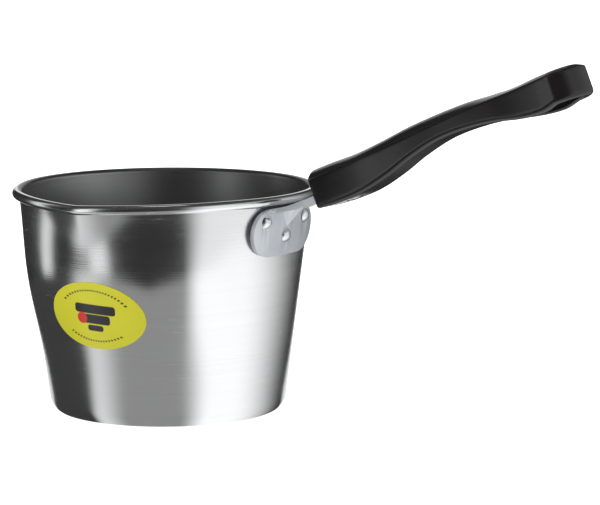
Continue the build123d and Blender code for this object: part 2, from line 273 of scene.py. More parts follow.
def spun_aluminium():
    """Bright aluminium with the fine rings that the spinning tool leaves, rougher inside, where its colour is
    darkened as painted shade.
    """
    material, tree, shader, place = new_material("pan_aluminium")
    shader.inputs["Metallic"].default_value = 1.0
    shader.inputs["Anisotropic"].default_value = 0.6
    fine_rings = noise(tree, stretched(tree, place, (5, 5, 2400)), 1.0, 4.0, 0.6)
    broad_rings = noise(tree, stretched(tree, place, (3, 3, 240)), 1.0, 3.0, 0.5)
    scuffs = noise(tree, stretched(tree, place, (90, 90, 900)), 1.0, 2.0, 0.5)
    scuffs = spread(tree, scuffs, 0.0, 1.0, 0.66, 0.78)
    clouds = noise(tree, place, 28.0, 3.0, 0.55)
    fine_part = maths(tree, "MULTIPLY", fine_rings, 0.6)
    rings = maths(tree, "ADD", fine_part, maths(tree, "MULTIPLY", broad_rings, 0.4))
    colour = mixed(tree, rings, (0.74, 0.745, 0.755, 1), (0.86, 0.865, 0.87, 1))
    colour = mixed(tree, maths(tree, "MULTIPLY", scuffs, 0.35), colour, (0.93, 0.93, 0.94, 1))
    geometry = tree.nodes.new("ShaderNodeNewGeometry")
    facing = tree.nodes.new("ShaderNodeVectorMath")
    facing.operation = "DOT_PRODUCT"
    tree.links.new(geometry.outputs["Normal"], facing.inputs[0])
    tree.links.new(stretched(tree, place, (1, 1, 0)), facing.inputs[1])
    inside = fade(tree, facing.outputs["Value"], -0.002, -0.02)
    # Painted shade: the inward-facing wall gets a far darker base colour that stands in for the shade inside
    # the pan.
    painted_inside_shade = mixed(tree, rings, (0.26, 0.262, 0.265, 1), (0.36, 0.362, 0.365, 1))
    colour = mixed(tree, inside, colour, painted_inside_shade)
    tree.links.new(colour, shader.inputs["Base Color"])
    gloss = spread(tree, maths(tree, "ADD", rings, clouds), 0.13, 0.22, 0.6, 1.4)
    gloss = maths(tree, "ADD", gloss, maths(tree, "MULTIPLY", inside, 0.16))
    gloss = maths(tree, "ADD", gloss, maths(tree, "MULTIPLY", scuffs, 0.12))
    tree.links.new(gloss, shader.inputs["Roughness"])
    tangent = tree.nodes.new("ShaderNodeTangent")
    tangent.direction_type = "RADIAL"
    tangent.axis = "Z"
    tree.links.new(tangent.outputs[0], shader.inputs["Tangent"])
    bumped(tree, shader, rings, 0.12, 0.0002)
    return material


def pressed_lip():
    """The tree that presses the pouring lip into the plain spun pan."""
    sizes = {
        "Lip Heading": lip_heading,
        "Lip Reach": 5.5 * MM,
        "Lip Span": radians(58),
        "Tip Span": radians(1.5),
        "Crease Length": 41.4 * MM,
        "Dip": 1.7 * MM,
        "Dip Span": radians(66),
        "Belly Reach": 3.4 * MM,
        "Belly Foot": 18 * MM,
        "Belly Rise": 50 * MM,
        "Belly Flat Span": radians(40),
        "Belly End Span": radians(67),
        "Belly Loss": 0.6,
        "Rim Height": rim_height,
        "Curl Foot Height": curl_foot_height,
        "Cone Share": cone_share,
    }
    tree, geometry, size = new_tree("pressed lip", sizes)

    def calc(operation, *values):
        return maths(tree, operation, *values)

    position = tree.nodes.new("GeometryNodeInputPosition")
    split = tree.nodes.new("ShaderNodeSeparateXYZ")
    tree.links.new(position.outputs[0], split.inputs[0])
    x, y, z = split.outputs
    heading = calc("SUBTRACT", calc("ARCTAN2", y, x), size["Lip Heading"])
    away = calc("ABSOLUTE", calc("WRAP", heading, pi, -pi))
    squares = calc("ADD", calc("MULTIPLY", away, away), calc("MULTIPLY", size["Tip Span"], size["Tip Span"]))
    blunt = calc("SUBTRACT", calc("SQRT", squares), size["Tip Span"])

    def pinch(span):
        left = calc("MAXIMUM", calc("SUBTRACT", 1.0, calc("DIVIDE", blunt, span)), 0.0)
        return calc("MULTIPLY", left, left)

    run = calc("SUBTRACT", size["Curl Foot Height"], size["Belly Foot"])
    sink_share = calc("DIVIDE", calc("SUBTRACT", z, size["Belly Foot"]), run)
    sink_share = calc("MINIMUM", calc("MAXIMUM", sink_share, 0.0), 1.0)
    sink = calc("MULTIPLY", calc("MULTIPLY", size["Dip"], pinch(size["Dip Span"])), sink_share)
    height = calc("SUBTRACT", calc("MINIMUM", z, size["Curl Foot Height"]), sink)
    top = calc("ADD", size["Belly Foot"], size["Belly Rise"])
    across = fade(tree, away, size["Belly Flat Span"], size["Belly End Span"], 1.0, 0.0)
    belly = calc("MULTIPLY", across, fade(tree, height, size["Belly Foot"], top))
    loss = calc("MULTIPLY", size["Belly Loss"], fade(tree, height, top, size["Rim Height"]))
    belly = calc("MULTIPLY", calc("MULTIPLY", belly, size["Belly Reach"]), calc("SUBTRACT", 1.0, loss))
    crease = calc("DIVIDE", calc("SUBTRACT", size["Rim Height"], height), size["Crease Length"])
    crease = calc("POWER", calc("MAXIMUM", calc("SUBTRACT", 1.0, crease), 0.0), 3.0)
    crease = calc("MULTIPLY", calc("MULTIPLY", crease, size["Lip Reach"]), pinch(size["Lip Span"]))
    outward = calc("SUBTRACT", calc("ADD", belly, crease), calc("MULTIPLY", sink, size["Cone Share"]))
    grow = calc("DIVIDE", outward, calc("SQRT", calc("ADD", calc("MULTIPLY", x, x), calc("MULTIPLY", y, y))))
    shift = tree.nodes.new("ShaderNodeCombineXYZ")
    give(tree, shift.inputs[0], calc("MULTIPLY", x, grow))
    give(tree, shift.inputs[1], calc("MULTIPLY", y, grow))
    give(tree, shift.inputs[2], calc("MULTIPLY", sink, -1.0))
    press = tree.nodes.new("GeometryNodeSetPosition")
    tree.links.new(geometry, press.inputs["Geometry"])
    tree.links.new(shift.outputs[0], press.inputs["Offset"])
    smooth = tree.nodes.new("GeometryNodeSetShadeSmooth")
    tree.links.new(press.outputs[0], smooth.inputs["Geometry"])
    finish_tree(tree, smooth.outputs[0], spun_aluminium())
    return tree


pan = made_by(pressed_lip(), turned("spun_blank", spun_section(), crowded_headings(420)), "spun_pan")
pan.data.set_sharp_from_angle(angle=radians(40))
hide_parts("pan_body")
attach(pan, "root")


# Handle bracket
# One pressing of zinc-plated steel: a curved plate on the wall, a fold that a gusset stiffens and
# a tang with turned-down edges inside the handle. Its sheared edges are broken, and it is matt.


def merged_copy(node, name, weld=0.00001, flat=radians(0.4)):
    """The CAD piece's own form as one joined skin, with its flat areas whole."""
    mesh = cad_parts[node].data.copy()
    mesh.name = name
    mesh.materials.clear()
    skin = bmesh.new()
    skin.from_mesh(mesh)
    bmesh.ops.remove_doubles(skin, verts=skin.verts, dist=weld)
    bmesh.ops.dissolve_limit(skin, angle_limit=flat, verts=skin.verts, edges=skin.edges)
    skin.to_mesh(mesh)
    skin.free()
    piece = bpy.data.objects.new(name, mesh)
    bpy.context.scene.collection.objects.link(piece)
    return piece


def break_edges(piece, width, steepest, segments=2):
    """Rounds every edge that is sharper than the given angle."""
    skin = bmesh.new()
    skin.from_mesh(piece.data)
    edges = [e for e in skin.edges if len(e.link_faces) == 2 and e.calc_face_angle(0) > steepest]
    bmesh.ops.bevel(
        skin, geom=edges, offset=width, segments=segments, profile=0.5, affect="EDGES", clamp_overlap=True
    )
    skin.to_mesh(piece.data)
    skin.free()
    piece.data.shade_smooth()
    piece.data.set_sharp_from_angle(angle=radians(32))


def zinc_plate():
    """Zinc on pressed steel: pale, bluish and matt, with a fine grain and bright worn edges."""
    material, tree, shader, place = new_material("bracket_steel")
    shader.inputs["Metallic"].default_value = 0.6
    grain = noise(tree, place, 1400.0, 3.0, 0.6)
    clouds = noise(tree, place, 90.0, 3.0, 0.5)
    colour = mixed(tree, clouds, (0.56, 0.60, 0.64, 1), (0.68, 0.71, 0.75, 1))
    colour = mixed(tree, maths(tree, "MULTIPLY", worn_edges(tree), 0.5), colour, (0.82, 0.84, 0.86, 1))
    tree.links.new(colour, shader.inputs["Base Color"])
    tree.links.new(spread(tree, grain, 0.38, 0.52), shader.inputs["Roughness"])
    bumped(tree, shader, grain, 0.10, 0.0001)
    return material


bracket = merged_copy("handle_bracket", "pressed_bracket")
break_edges(bracket, 0.28 * MM, radians(38))
bracket.data.materials.append(zinc_plate())
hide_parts("handle_bracket")
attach(bracket, "root")


# Rivets
# Three soft aluminium rivets through wall and plate. The maker's dome sits on the plate, and the
# tail is closed down flat inside the pan. The dome keeps a faint ring from the setting tool.

plate_top = rim_height - 2 * bead_radius - 0.4 * MM
plate_height = 23.0 * MM
plate_thickness = 2.0 * MM
plate_wall_gap = 0.05 * MM
plate_bend_radius = 125.0 * MM
rivet_half_spacing = 14.8 * MM
dome_radius = 3.3 * MM
dome_height = 1.9 * MM
shank_radius = 2.1 * MM
tail_radius = 3.9 * MM
tail_height = 0.9 * MM


def rivet_section(seat):
    """Half section of a rivet, its shank along Z and the wall's outside at zero."""
    ball = (dome_radius**2 + dome_height**2) / (2 * dome_height)
    crown = []
    for k in range(13):
        out = dome_radius * 0.97 * k / 12
        crown.append((out, seat + dome_height - ball + sqrt(ball**2 - out**2)))
    crown[0] = (0.02 * MM, crown[0][1])
    lip = [(dome_radius, seat + 0.16 * MM), (dome_radius, seat + 0.02 * MM)]
    lip.append((dome_radius * 0.97, seat - 0.05 * MM))
    tail_top = -wall_thickness + 0.1 * MM
    tail_end = -wall_thickness - tail_height
    shank = [(shank_radius, seat - 0.05 * MM), (shank_radius, tail_top)]
    tail = [
        (tail_radius * 0.97, tail_top),
        (tail_radius, -wall_thickness - 0.12 * MM),
        (tail_radius, tail_end + 0.35 * MM),
        (tail_radius - 0.12 * MM, tail_end + 0.12 * MM),
        (tail_radius - 0.4 * MM, tail_end),
        (tail_radius * 0.5, tail_end),
        (0.02 * MM, tail_end),
    ]
    return list(reversed(crown + lip + shank + tail))


def rivet_aluminium():
    """Soft bright aluminium, dulled a little where the tool pressed it."""
    material, tree, shader, place = new_material("rivet_aluminium")
    shader.inputs["Metallic"].default_value = 1.0
    marks = noise(tree, place, 900.0, 3.0, 0.6)
    clouds = noise(tree, place, 220.0, 2.0, 0.5)
    colour = mixed(tree, clouds, (0.70, 0.70, 0.71, 1), (0.86, 0.86, 0.87, 1))
    tree.links.new(colour, shader.inputs["Base Color"])
    tree.links.new(spread(tree, marks, 0.16, 0.32), shader.inputs["Roughness"])
    bumped(tree, shader, clouds, 0.12, 0.0003)
    return material


def riveting():
    """The tree that sets a rivet in the wall, square to it, at a heading and a height."""
    sizes = {
        "Heading": 0.0,
        "Height": 96.4 * MM,
        "Foot Radius": foot_radius,
        "Cone Share": cone_share,
        "Wall Slope": wall_slope,
    }
    tree, geometry, size = new_tree("riveting", sizes)
    flare = maths(tree, "MULTIPLY", size["Cone Share"], size["Height"])
    radius = maths(tree, "ADD", size["Foot Radius"], flare)
    spot = tree.nodes.new("ShaderNodeCombineXYZ")
    give(tree, spot.inputs[0], maths(tree, "MULTIPLY", radius, maths(tree, "COSINE", size["Heading"])))
    give(tree, spot.inputs[1], maths(tree, "MULTIPLY", radius, maths(tree, "SINE", size["Heading"])))
    give(tree, spot.inputs[2], size["Height"])
    lean = tree.nodes.new("ShaderNodeCombineXYZ")
    give(tree, lean.inputs[1], maths(tree, "ADD", size["Wall Slope"], pi / 2))
    give(tree, lean.inputs[2], size["Heading"])
    points = tree.nodes.new("GeometryNodePoints")
    tree.links.new(spot.outputs[0], points.inputs["Position"])
    place = tree.nodes.new("GeometryNodeInstanceOnPoints")
    tree.links.new(points.outputs[0], place.inputs["Points"])
    tree.links.new(geometry, place.inputs["Instance"])
    tree.links.new(lean.outputs[0], place.inputs["Rotation"])
    smooth = tree.nodes.new("GeometryNodeSetShadeSmooth")
    finish = tree.nodes.new("GeometryNodeRealizeInstances")
    tree.links.new(place.outputs[0], finish.inputs[0])
    tree.links.new(finish.outputs[0], smooth.inputs["Geometry"])
    finish_tree(tree, smooth.outputs[0], rivet_aluminium())
    return tree


full_turn = [2 * pi * k / 48 for k in range(48)]
riveting_tree = riveting()
pair_share, lower_share = 0.735, 0.40
rivet_places = (
    ("rivet_left", -1, pair_share),
    ("rivet_right", 1, pair_share),
    ("rivet_lower", 0, lower_share),
)
for node, across, height_share in rivet_places:
    rivet_height = plate_top - plate_height * (1 - height_share)
    wall_radius = cone_radius(rivet_height)
    sideways = across * rivet_half_spacing
    stand_off = sideways**2 * (1 / wall_radius - 1 / plate_bend_radius) / 2
    form = turned("rivet_form", rivet_section(plate_wall_gap + stand_off + plate_thickness), full_turn)
    changes = {"Heading": sideways / wall_radius, "Height": rivet_height}
    rivet = made_by(riveting_tree, form, f"{node}_set", **changes)
    rivet.data.set_sharp_from_angle(angle=radians(35))
    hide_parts(node)
    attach(rivet, "root")


# Handle
# One compression moulding of black phenolic resin: an arched crown on straight sides, a waist, and
# a loop with an egg-shaped hanging hole. It is pushed over the tang and held by one screw.
# Sizes are in millimetres here, in the handle's own frame: along it, across it and up from it.

handle_slope = radians(22.7)
handle_start = Vector((cone_radius(plate_top) + 19.23 * MM, 0, rim_height + 6.4 * MM))
handle_length = 147.6
handle_depth = 20.0
handle_width = 24.4
loop_middle = handle_length - handle_width / 2
hole_radius = handle_width / 2 - 4.6
neck_radius = 4.2
neck_middle = loop_middle + hole_radius + neck_radius - 35.0
hole_rim_radius = 1.2
station_shares = (0, 0.074, 0.174, 0.275, 0.376, 0.486, 0.598, 0.698, 0.789, 0.869)
stations = [handle_length * share for share in station_shares] + [loop_middle]
top_shares = (0.335, 0.325, 0.295, 0.33, 0.385, 0.40, 0.38, 0.31, 0.275, 0.31, 0.325)
brow_shares = (0.104, 0.106, 0.102, 0.108, 0.137, 0.166, 0.184, 0.18, 0.165, 0.157, 0.16)
under_shares = (0.575, 0.625, 0.62, 0.50, 0.315, 0.19, 0.21, 0.315, 0.475, 0.54, 0.48)
width_shares = (0.80, 0.82, 0.81, 0.76, 0.735, 0.75, 0.78, 0.84, 0.93, 0.985, 1)


def along(shares, s):
    """Share at one place along the handle, on a smooth curve through the stations."""
    s = min(max(s, 0), loop_middle)
    k = max(sum(station < s for station in stations) - 1, 0)
    slopes = []
    for near in (k, k + 1):
        before, after = max(near - 1, 0), min(near + 1, len(stations) - 1)
        slopes.append((shares[after] - shares[before]) / (stations[after] - stations[before]))
    step = stations[k + 1] - stations[k]
    t = (s - stations[k]) / step
    blend = t * t * (3 - 2 * t)
    bow = t * (1 - t) * step * (slopes[0] * (1 - t) - slopes[1] * t)
    return shares[k] * (1 - blend) + shares[k + 1] * blend + bow


def half_width(s):
    return along(width_shares, s) * handle_width / 2


def crown(s, y):
    """Height of the arched top at a place, seen from above."""
    top, brow = along(top_shares, s) * handle_depth, along(brow_shares, s) * handle_depth
    across = half_width(s)
    out = sqrt(y * y + max(s - loop_middle, 0) ** 2)
    arch = (across**2 + (top - brow) ** 2) / (2 * (top - brow))
    return top - arch + sqrt(max(arch**2 - min(out, across * 1.02) ** 2, 0))


def keel(s, y):
    """Height of the flat underside at a place."""
    return -along(under_shares, s) * handle_depth


def handle_outline():
    """Right half of the outline from the pan's end to the tip: points and their inward normals."""
    corner = 1.8
    edge = half_width(0) - corner
    outline = [((0, edge * k / 6), (1, 0)) for k in range(6)]
    for k in range(6):
        turn = pi / 2 * k / 6
        outline.append(((corner - corner * cos(turn), edge + corner * sin(turn)), (cos(turn), -sin(turn))))
    side_count = 170
    for k in range(side_count):
        s = corner + (loop_middle - corner) * k / side_count
        lean = (half_width(s + 0.05) - half_width(s - 0.05)) / 0.1
        length = sqrt(1 + lean * lean)
        outline.append(((s, half_width(s)), (lean / length, -1 / length)))
    for k in range(37):
        turn = pi / 2 * (1 - k / 36)
        spot = (loop_middle + handle_width / 2 * cos(turn), handle_width / 2 * sin(turn))
        outline.append((spot, (-cos(turn), -sin(turn))))
    return outline


def hole_outline(count):
    """Right half of the hanging hole from its neck to its far end: points and outward normals."""
    lean = asin((hole_radius - neck_radius) / (loop_middle - neck_middle))
    neck_arc = neck_radius * (pi / 2 - lean)
    run = (loop_middle - neck_middle) * cos(lean)
    wide_arc = hole_radius * (pi / 2 + lean)
    total = neck_arc + run + wide_arc
    outline = []
    for k in range(count):
        far = total * k / (count - 1)
        if far < neck_arc:
            turn = pi - far / neck_radius
            centre, radius, slide = neck_middle, neck_radius, 0
        elif far < neck_arc + run:
            turn = pi / 2 + lean
            centre, radius, slide = neck_middle, neck_radius, far - neck_arc
        else:
            turn = pi / 2 + lean - (far - neck_arc - run) / hole_radius
            centre, radius, slide = loop_middle, hole_radius, 0
        spot = (centre + radius * cos(turn) + slide * cos(lean), radius * sin(turn) + slide * sin(lean))
        outline.append((spot, (cos(turn), sin(turn))))
    return outline


def handle_strips():
    """Strips of points over top, side and underside, and strips through the hole, for one half."""
    outline = handle_outline()
    hole_tip = neck_middle - neck_radius - hole_rim_radius
    first_hole = next(k for k, (spot, _) in enumerate(outline) if spot[0] >= hole_tip)
    hole = hole_outline(len(outline) - first_hole)
    slit_start = 6.0
    outer_strips, hole_strips = [], []
    for k, ((s, y), (ns, ny)) in enumerate(outline):
        if k < first_hole:
            inner = (max(slit_start + (s - slit_start) * hole_tip / outline[first_hole][0][0], slit_start), 0)
        else:
            (hs, hy), (ms, my) = hole[k - first_hole]
            inner = (hs + hole_rim_radius * ms, hy + hole_rim_radius * my)
        end_share = max(1 - s / 5, 0)
        top_radius = 0.5 + 0.7 * end_share
        low_radius = 2.1 - 0.9 * end_share
        strip = []
        for surface, radius, way in ((crown, top_radius, 1), (keel, low_radius, -1)):
            inset = (s + ns * radius, y + ny * radius)
            half = []
            for j in range(15):
                share = (j / 15) ** 0.8
                spot = (inner[0] + (inset[0] - inner[0]) * share, inner[1] + (inset[1] - inner[1]) * share)
                half.append((*spot, surface(*spot)))
            for j in range(7):
                turn = pi / 2 * j / 6
                inward = radius * (1 - sin(turn))
                spot = (s + ns * inward, y + ny * inward)
                half.append((*spot, surface(*spot) - way * radius * (1 - cos(turn))))
            strip.append(half)
        upper, lower = strip
        brow, sill = np.array(upper[-1]), np.array(lower[-1])
        side = [tuple(brow + (sill - brow) * j / 9) for j in range(1, 9)]
        outer_strips.append(upper + side + lower[::-1])
        if k >= first_hole:
            rims = []
            for surface, way in ((crown, 1), (keel, -1)):
                rim = []
                for j in range(7):
                    turn = pi / 2 * j / 6
                    inward = hole_rim_radius * (1 - sin(turn))
                    spot = (hs + ms * inward, hy + my * inward)
                    rim.append((*spot, surface(*spot) - way * hole_rim_radius * (1 - cos(turn))))
                rims.append(rim)
            start, end = np.array(rims[0][-1]), np.array(rims[1][-1])
            wall = [tuple(start + (end - start) * j / 6) for j in range(1, 6)]
            hole_strips.append(rims[0] + wall + rims[1][::-1])
    return outer_strips, hole_strips


def handle_spot(s, y, h):
    """A place in the handle's own frame, in millimetres, brought into the scene."""
    x = s * cos(handle_slope) - h * sin(handle_slope)
    z = s * sin(handle_slope) + h * cos(handle_slope)
    return handle_start + Vector((x, y, z)) * MM


def moulded_handle():
    """The whole handle: both halves of the strips, sewn along the middle."""
    outer_strips, hole_strips = handle_strips()
    verts, faces = [], []
    for half in (1, -1):
        for strips in (outer_strips, hole_strips):
            start, length = len(verts), len(strips[0])
            verts += [handle_spot(s, half * y, h) for strip in strips for s, y, h in strip]
            for i in range(len(strips) - 1):
                for j in range(length - 1):
                    a, b = start + i * length + j, start + (i + 1) * length + j
                    face = (a, a + 1, b + 1, b)
                    turned_over = (half == 1) != (strips is outer_strips)
                    faces.append(face[::-1] if turned_over else face)
    piece = show("moulded_handle", verts, faces)
    skin = bmesh.new()
    skin.from_mesh(piece.data)
    bmesh.ops.remove_doubles(skin, verts=skin.verts, dist=0.002 * MM)
    bmesh.ops.dissolve_degenerate(skin, edges=skin.edges, dist=0.001 * MM)
    bmesh.ops.recalc_face_normals(skin, faces=skin.faces)
    skin.to_mesh(piece.data)
    skin.free()
    return piece


def block(name, low, high):
    """A cutting block in the handle's own frame."""
    corners = [(s, y, h) for s in (low[0], high[0]) for y in (low[1], high[1]) for h in (low[2], high[2])]
    faces = [(0, 1, 3, 2), (4, 6, 7, 5), (0, 4, 5, 1), (2, 3, 7, 6), (0, 2, 6, 4), (1, 5, 7, 3)]
    return show(name, [handle_spot(*corner) for corner in corners], faces)


def upright_pin(name, s, radius, low, high, count=48):
    """A cutting cylinder that stands square to the handle."""
    verts = []
    for h in (low, high):
        for k in range(count):
            turn = 2 * pi * k / count
            verts.append(handle_spot(s + radius * cos(turn), radius * sin(turn), h))
    faces = [(k, (k + 1) % count, count + (k + 1) % count, count + k) for k in range(count)]
    faces += [list(reversed(range(count))), list(range(count, 2 * count))]
    return show(name, verts, faces)


def cut_away(piece, cutters):
    """Cuts the cutters out of a piece, then removes them."""
    for cutter in cutters:
        modifier = piece.modifiers.new(cutter.name, "BOOLEAN")
        modifier.operation = "DIFFERENCE"
        modifier.solver = "EXACT"
        modifier.object = cutter
    mesh = bpy.data.meshes.new_from_object(piece.evaluated_get(bpy.context.evaluated_depsgraph_get()))
    piece.modifiers.clear()
    piece.data = mesh
    for cutter in cutters:
        bpy.data.objects.remove(cutter)


def black_phenolic():
    """Glossy black resin, warm in the light, with faint flow marks and fine handling scratches."""
    material, tree, shader, place = new_material("handle_plastic")
    flow = noise(tree, stretched(tree, place, (14, 60, 60)), 1.0, 3.0, 0.5)
    scratches = noise(tree, stretched(tree, place, (120, 1500, 900)), 1.0, 2.0, 0.5)
    scratches = spread(tree, scratches, 0.0, 1.0, 0.62, 0.76)
    colour = mixed(tree, flow, (0.006, 0.0055, 0.006, 1), (0.014, 0.012, 0.012, 1))
    colour = mixed(tree, maths(tree, "MULTIPLY", worn_edges(tree), 0.35), colour, (0.05, 0.045, 0.042, 1))
    tree.links.new(colour, shader.inputs["Base Color"])
    gloss = maths(tree, "ADD", spread(tree, flow, 0.14, 0.24), maths(tree, "MULTIPLY", scratches, 0.10))
    tree.links.new(gloss, shader.inputs["Roughness"])
    bumped(tree, shader, flow, 0.05, 0.0006)
    return material


tang_drop = 5.2
tang_flange_depth = 3.6
tang_half_width = 7.5
tang_length = 28.0
socket_clearance = 0.2
screw_place = 15.6
screw_floor = handle_depth * under_shares[1]
recess_depth = 0.8
recess_radius = 4.2

handle = moulded_handle()
socket_half_width = tang_half_width + socket_clearance
socket_floor = -tang_drop - tang_flange_depth - socket_clearance
socket_low = (-3, -socket_half_width, socket_floor)
socket_high = (tang_length + socket_clearance, socket_half_width, -tang_drop + socket_clearance)
cut_away(handle, [
    block("socket_cutter", socket_low, socket_high),
    upright_pin(
        "recess_cutter", screw_place, recess_radius, -screw_floor - 1.2, -screw_floor + recess_depth
    ),
])
handle.data.shade_smooth()
handle.data.set_sharp_from_angle(angle=radians(38))
handle.data.materials.clear()
handle.data.materials.append(black_phenolic())
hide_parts("handle_grip")
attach(handle, "root")


# Handle screw
# A plated steel screw with a domed head and a cross recess, driven from below through the tang.
# Its head sits in a shallow round recess in the underside of the handle.

screw_head_radius = 3.8
screw_head_height = 1.6
screw_radius = 2.0
screw_length = 15.0


def domed_screw():
    """The screw turned about its own axis, then stood square to the handle, head down."""
    ball = (screw_head_radius**2 + screw_head_height**2) / (2 * screw_head_height)
    section = []
    for k in range(11):
        out = max(screw_head_radius * 0.97 * k / 10, 0.02)
        section.append((out, ball - screw_head_height - sqrt(ball**2 - out**2)))
    section += [(screw_head_radius, -0.14), (screw_head_radius, 0)]
    section += [(screw_radius, 0), (screw_radius, screw_length), (0.02, screw_length)]
    verts = []
    for turn in full_turn:
        for out, up in section:
            s = screw_place + out * cos(turn)
            verts.append(handle_spot(s, out * sin(turn), up - screw_floor + recess_depth))
    return show("domed_screw", verts, turned_faces(len(section), len(full_turn)))


def plated_steel():
    """Bright nickel plate with slight stains."""
    material, tree, shader, place = new_material("screw_steel")
    shader.inputs["Metallic"].default_value = 1.0
    stains = noise(tree, place, 500.0, 3.0, 0.6)
    colour = mixed(tree, stains, (0.62, 0.61, 0.59, 1), (0.80, 0.79, 0.77, 1))
    tree.links.new(colour, shader.inputs["Base Color"])
    tree.links.new(spread(tree, stains, 0.14, 0.34), shader.inputs["Roughness"])
    bumped(tree, shader, stains, 0.08, 0.0002)
    return material


screw = domed_screw()
screw_foot = -screw_floor + recess_depth - screw_head_height
slot_half_length, slot_half_width = 2.1, 0.38
slots = []
for name, along_half, across_half in (
    ("slot_along", slot_half_length, slot_half_width),
    ("slot_across", slot_half_width, slot_half_length),
):
    slot_low = (screw_place - along_half, -across_half, screw_foot - 0.6)
    slot_high = (screw_place + along_half, across_half, screw_foot + 0.95)
    slots.append(block(name, slot_low, slot_high))
cut_away(screw, slots)
screw.data.shade_smooth()
screw.data.set_sharp_from_angle(angle=radians(35))
screw.data.materials.clear()
screw.data.materials.append(plated_steel())
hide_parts("handle_screw")
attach(screw, "root")


# Label
# An oval sticker of glossy printed paper on the wall under the lip. It carries a plain pattern of
# its own: two arcs of dots, three bars and a disc, and no words.

label_heading = radians(-84)
label_half_width = 24.6 * MM
label_half_height = 15.75 * MM
label_middle = 54.0 * MM
label_tilt = radians(-3)
label_front = 0.28 * MM
label_back = 0.08 * MM


def label_sheet():
    """The oval laid on the wall: rings of points found on the pan, raised by the paper's thickness."""
    bpy.context.view_layer.update()
    outward = Vector((cos(label_heading), sin(label_heading), 0))
    sideways = Vector((-sin(label_heading), cos(label_heading), 0))
    ring_count, turn_count = 14, 120
    spots, flats = [], []
    for i in range(ring_count + 1):
        size = (i / ring_count) ** 0.8
        for k in range(turn_count):
            turn = 2 * pi * k / turn_count
            u, v = size * cos(turn), size * sin(turn)
            flat = Matrix.Rotation(label_tilt, 2) @ Vector((u * label_half_width, v * label_half_height))
            start = outward * 0.12 + sideways * flat.x + Vector((0, 0, label_middle + flat.y))
            _, spot, normal, _ = pan.ray_cast(start, -outward)
            spots.append((spot, normal))
            flats.append((0.5 + u / 2, 0.5 + v / 2))
    verts = [spot + normal * label_front for spot, normal in spots]
    verts += [spot + normal * label_back for spot, normal in spots[-turn_count:]]
    faces = []
    for i in range(ring_count + 1):
        for k in range(turn_count):
            a, b = i * turn_count + k, i * turn_count + (k + 1) % turn_count
            faces.append((a, a + turn_count, b + turn_count, b))
    sheet = show("oval_label", verts, faces)
    flats += flats[-turn_count:]
    chart = sheet.data.uv_layers.new(name="print")
    for loop in sheet.data.loops:
        chart.data[loop.index].uv = flats[loop.vertex_index]
    skin = bmesh.new()
    skin.from_mesh(sheet.data)
    bmesh.ops.remove_doubles(skin, verts=skin.verts, dist=0.003 * MM)
    bmesh.ops.holes_fill(skin, edges=skin.edges)
    bmesh.ops.recalc_face_normals(skin, faces=skin.faces)
    skin.to_mesh(sheet.data)
    skin.free()
    return sheet


def printed_paper():
    """Glossy yellow paper with a generic print laid out in the label's own oval."""
    material, tree, shader, place = new_material("label_paper")
    shader.inputs["Coat Weight"].default_value = 0.35
    shader.inputs["Coat Roughness"].default_value = 0.12
    chart = tree.nodes.new("ShaderNodeUVMap")
    chart.uv_map = "print"
    split = tree.nodes.new("ShaderNodeSeparateXYZ")
    tree.links.new(chart.outputs[0], split.inputs[0])
    u = maths(tree, "MULTIPLY", maths(tree, "SUBTRACT", split.outputs[0], 0.5), 2.0)
    v = maths(tree, "MULTIPLY", maths(tree, "SUBTRACT", split.outputs[1], 0.5), 2.0)
    wide = label_half_width / label_half_height

    def calc(operation, *values):
        return maths(tree, operation, *values)

    def length_of(first, second):
        return calc("SQRT", calc("ADD", calc("MULTIPLY", first, first), calc("MULTIPLY", second, second)))

    def inside(distance, soft=0.012):
        return spread(tree, distance, 1.0, 0.0, -soft, soft)

    def bar(middle_u, middle_v, half_u, half_v, corner):
        """A bar with round corners, in units of the oval's half height."""
        from_middle = calc("SUBTRACT", calc("MULTIPLY", u, wide), middle_u)
        over_u = calc("SUBTRACT", calc("ABSOLUTE", from_middle), half_u)
        over_v = calc("SUBTRACT", calc("ABSOLUTE", calc("SUBTRACT", v, middle_v)), half_v)
        over_u, over_v = calc("MAXIMUM", over_u, 0.0), calc("MAXIMUM", over_v, 0.0)
        return inside(calc("SUBTRACT", length_of(over_u, over_v), corner))

    def disc(middle_u, middle_v, radius):
        return bar(middle_u, middle_v, 0.0, 0.0, radius)

    fibres = noise(tree, stretched(tree, place, (900, 900, 2600)), 1.0, 3.0, 0.6)
    clouds = noise(tree, place, 60.0, 2.0, 0.5)
    colour = mixed(tree, clouds, (0.60, 0.58, 0.012, 1), (0.68, 0.65, 0.02, 1))
    dark = (0.018, 0.018, 0.022, 1)
    out = length_of(u, v)
    turn = calc("ARCTAN2", v, calc("MULTIPLY", u, wide))
    dot_count, dot_spacing, dot_radius, dot_ring = 58, 0.11, 0.030, 0.76
    step = calc("SUBTRACT", calc("FRACT", calc("MULTIPLY", turn, dot_count / (2 * pi))), 0.5)
    near = length_of(calc("MULTIPLY", step, dot_spacing), calc("SUBTRACT", out, dot_ring))
    dots = inside(calc("SUBTRACT", near, dot_radius))
    shown = calc("MAXIMUM", fade(tree, v, 0.36, 0.38), fade(tree, v, -0.52, -0.54))
    colour = mixed(tree, calc("MULTIPLY", dots, shown), colour, dark)
    for middle_u, middle_v, half_u, half_v, corner in (
        (0.02, 0.20, 0.58, 0.05, 0.09),
        (0.02, -0.10, 0.40, 0.05, 0.09),
        (0.02, -0.37, 0.18, 0.01, 0.08),
    ):
        colour = mixed(tree, bar(middle_u, middle_v, half_u, half_v, corner), colour, dark)
    colour = mixed(tree, disc(-0.42, -0.10, 0.17), colour, (0.62, 0.02, 0.02, 1))
    tree.links.new(colour, shader.inputs["Base Color"])
    tree.links.new(spread(tree, fibres, 0.30, 0.42), shader.inputs["Roughness"])
    bumped(tree, shader, fibres, 0.05, 0.0001)
    return material


